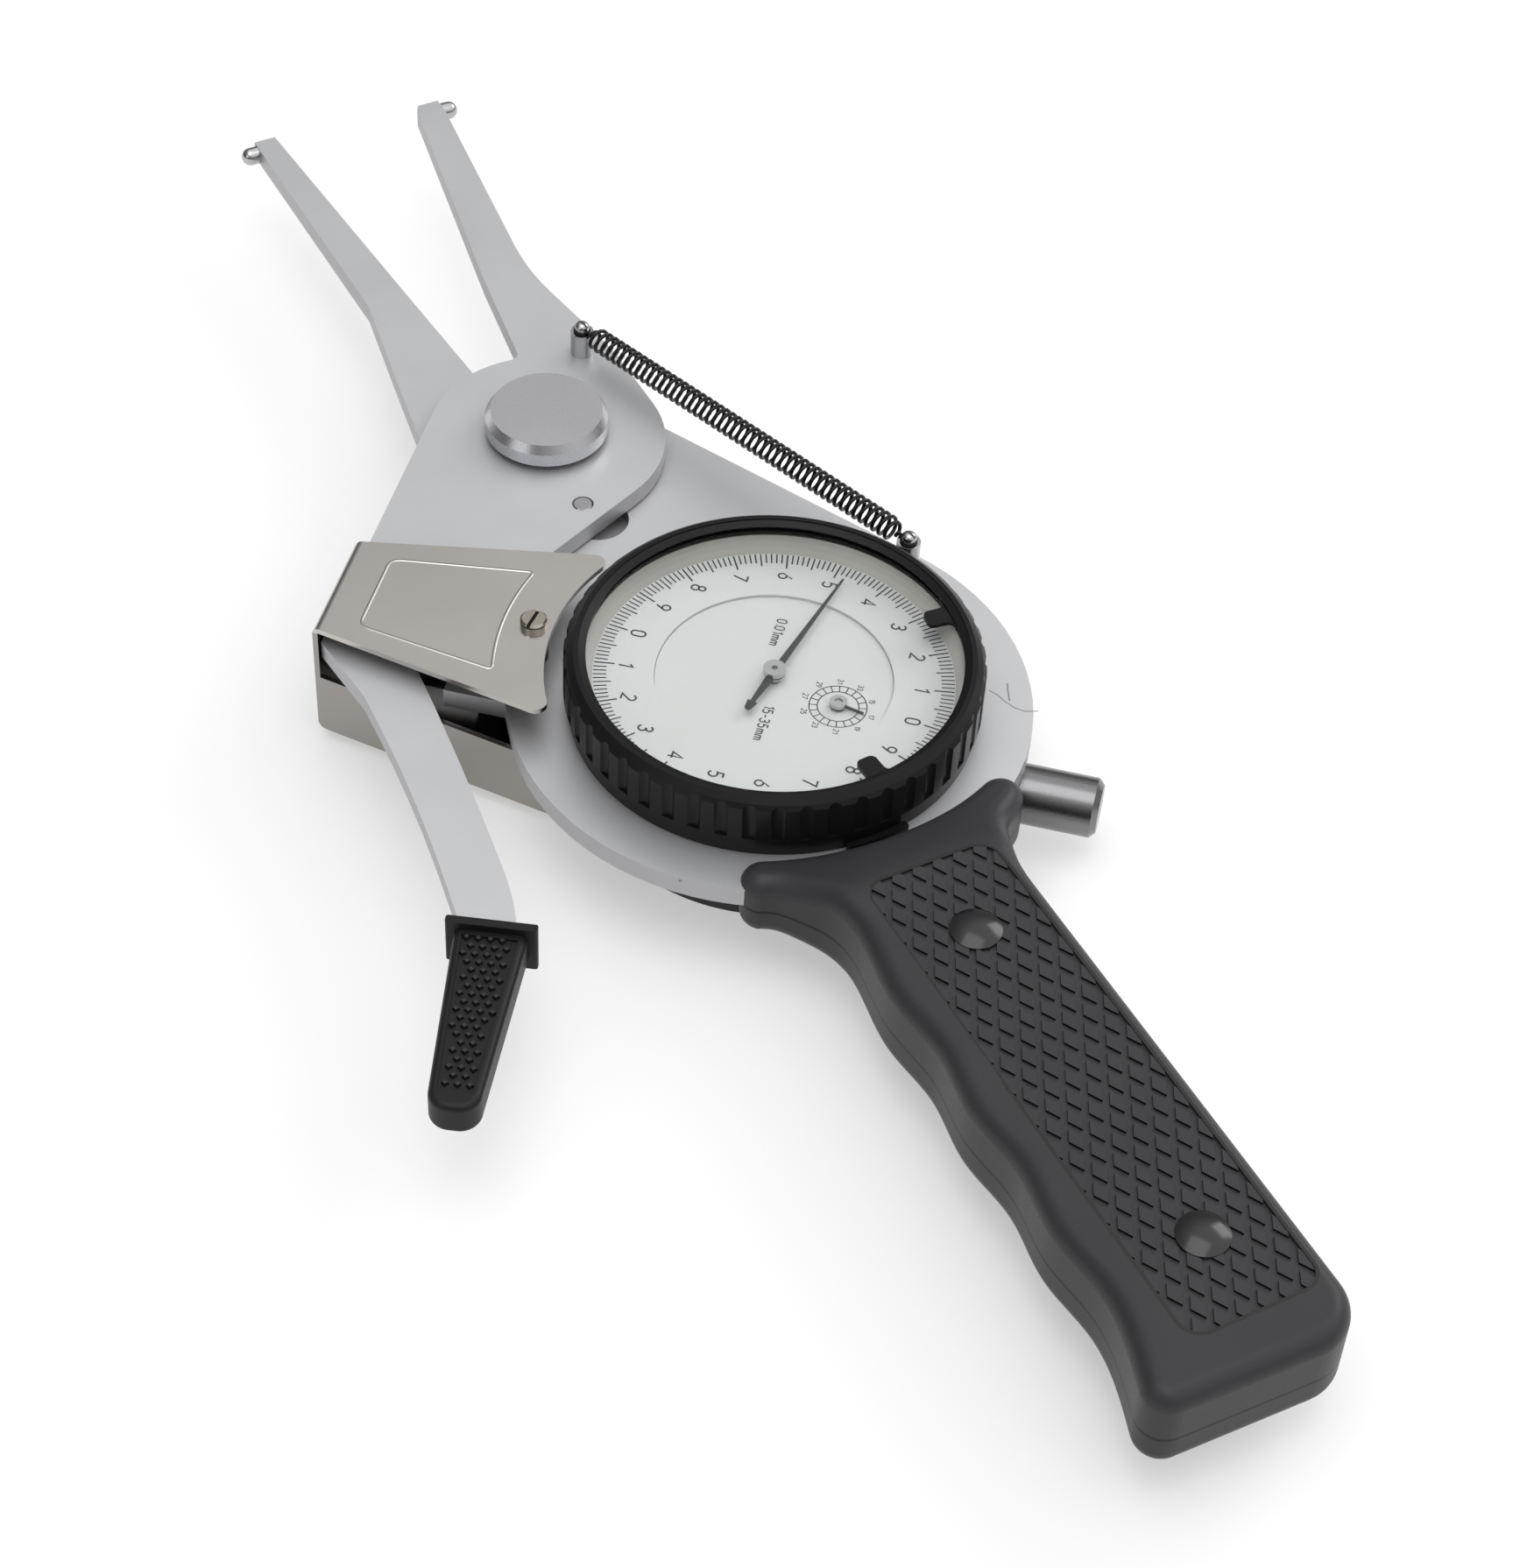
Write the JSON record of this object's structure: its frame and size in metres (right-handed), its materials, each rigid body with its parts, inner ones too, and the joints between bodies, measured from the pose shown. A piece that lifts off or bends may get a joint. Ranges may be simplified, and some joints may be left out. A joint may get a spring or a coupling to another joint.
{
  "type": "internal dial caliper gauge",
  "caption": "Hand-held gauge for inside measurements: a squeezed lever closes two slim arms with small side contacts and turns a round dial's hands.",
  "frame": {"origin": "on the dial's axis, in the plane of the flat back cover that the gauge rests on", "axes": "+Y from the handle to the jaws, +Z out of the dial's face, +X to the right as the face is seen with the jaws up"},
  "size_m": [0.1073, 0.2708, 0.0253],
  "materials": {
    "satin_steel": "satin",
    "bright_steel": "polished",
    "dark_steel": "satin",
    "cover_nickel": "satin",
    "case_black": "satin",
    "movement_brass": "satin",
    "black_plastic": "matte",
    "black_grip": "matte",
    "dial_white": "matte",
    "dial_ink": "matte",
    "clear_glass": "gloss"
  },
  "bodies": {
    "gauge_body": {"body_plate": "satin_steel", "fixed_contact": "bright_steel", "pivot_shaft": "bright_steel", "pivot_washer": "satin_steel", "pivot_cap": "satin_steel", "body_spring_post": "bright_steel", "body_post_screw": "dark_steel", "guard_cover": "cover_nickel", "cover_standoff": "bright_steel", "cover_screw": "dark_steel", "lower_standoffs": "bright_steel", "lower_screws": "dark_steel", "dial_case": "case_black", "back_cover": "case_black", "back_screws": "dark_steel", "spindle_bush": "bright_steel", "spindle_cap": "satin_steel", "lower_movement_plate": "movement_brass", "centre_bridge": "movement_brass", "upper_movement_plate": "movement_brass", "movement_pillars": "movement_brass", "inner_dial": "dial_white", "bezel_clamp": "black_plastic", "handle_top": "black_plastic", "handle_bottom": "black_plastic", "handle_plugs": "black_grip", "handle_screws": "dark_steel", "return_spring": "dark_steel"},
    "arm": {"moving_arm": "satin_steel", "pivot_bush": "movement_brass", "moving_contact": "bright_steel", "stop_pin": "bright_steel", "drive_pin": "bright_steel", "arm_spring_post": "bright_steel", "arm_post_screw": "dark_steel", "lever_grip": "black_grip"},
    "plunger": {"spindle": "bright_steel", "spindle_contact": "bright_steel"},
    "rack_gear": {"rack_pinion": "bright_steel", "drive_wheel": "movement_brass"},
    "pointer": {"centre_pinion": "bright_steel", "main_pointer": "dial_ink", "pointer_hub": "bright_steel"},
    "counter": {"take_up_arbor": "bright_steel", "take_up_wheel": "movement_brass", "counter_pointer": "dial_ink", "counter_hub": "bright_steel"},
    "bezel_ring": {"bezel": "black_plastic", "crystal": "clear_glass", "scale_ring": "dial_white", "dial_skirt": "dial_white"},
    "marker_1": {"tolerance_marker_1": "black_plastic"},
    "marker_2": {"tolerance_marker_2": "black_plastic"}
  },
  "joints": [
    {"name": "arm_pivot", "type": "hinge", "parent": "gauge_body", "child": "arm", "pos_m": [-0.0049, 0.061, 0.0169], "axis": [0, 0, 1], "range_deg": [0, 13.8], "stiffness_Nm_per_rad": 0.08, "springref_deg": -91.67, "deforming": ["return_spring"]},
    {"name": "spindle_slide", "type": "slide", "parent": "gauge_body", "child": "plunger", "axis": [0.7455, -0.6665, 0], "range_m": [0, 0.0105]},
    {"name": "rack_gear_turn", "type": "hinge", "parent": "gauge_body", "child": "rack_gear", "pos_m": [-0.0053, 0.0083, 0.008], "axis": [0, 0, 1], "range_deg": [0, 380]},
    {"name": "pointer_turn", "type": "hinge", "parent": "gauge_body", "child": "pointer", "pos_m": [0, 0, 0.0209], "axis": [0, 0, 1], "range_deg": [-3800, 0]},
    {"name": "counter_turn", "type": "hinge", "parent": "gauge_body", "child": "counter", "pos_m": [0.0053, -0.0083, 0.0199], "axis": [0, 0, 1], "range_deg": [0, 380]},
    {"name": "bezel_turn", "type": "hinge", "parent": "gauge_body", "child": "bezel_ring", "pos_m": [0, 0, 0.02], "axis": [0, 0, 1], "continuous": true},
    {"name": "marker_1_slide", "type": "hinge", "parent": "bezel_ring", "child": "marker_1", "pos_m": [0, 0, 0.024], "axis": [0, 0, 1], "range_deg": [-30, 120]},
    {"name": "marker_2_slide", "type": "hinge", "parent": "bezel_ring", "child": "marker_2", "pos_m": [0, 0, 0.024], "axis": [0, 0, 1], "range_deg": [-120, 30]}
  ],
  "couplings": [
    {"joint": "spindle_slide", "follows": "arm_pivot", "m_per_rad": 0.04331},
    {"joint": "rack_gear_turn", "follows": "arm_pivot", "ratio": 27.213},
    {"joint": "pointer_turn", "follows": "arm_pivot", "ratio": -272.13},
    {"joint": "counter_turn", "follows": "arm_pivot", "ratio": 27.213}
  ]
}
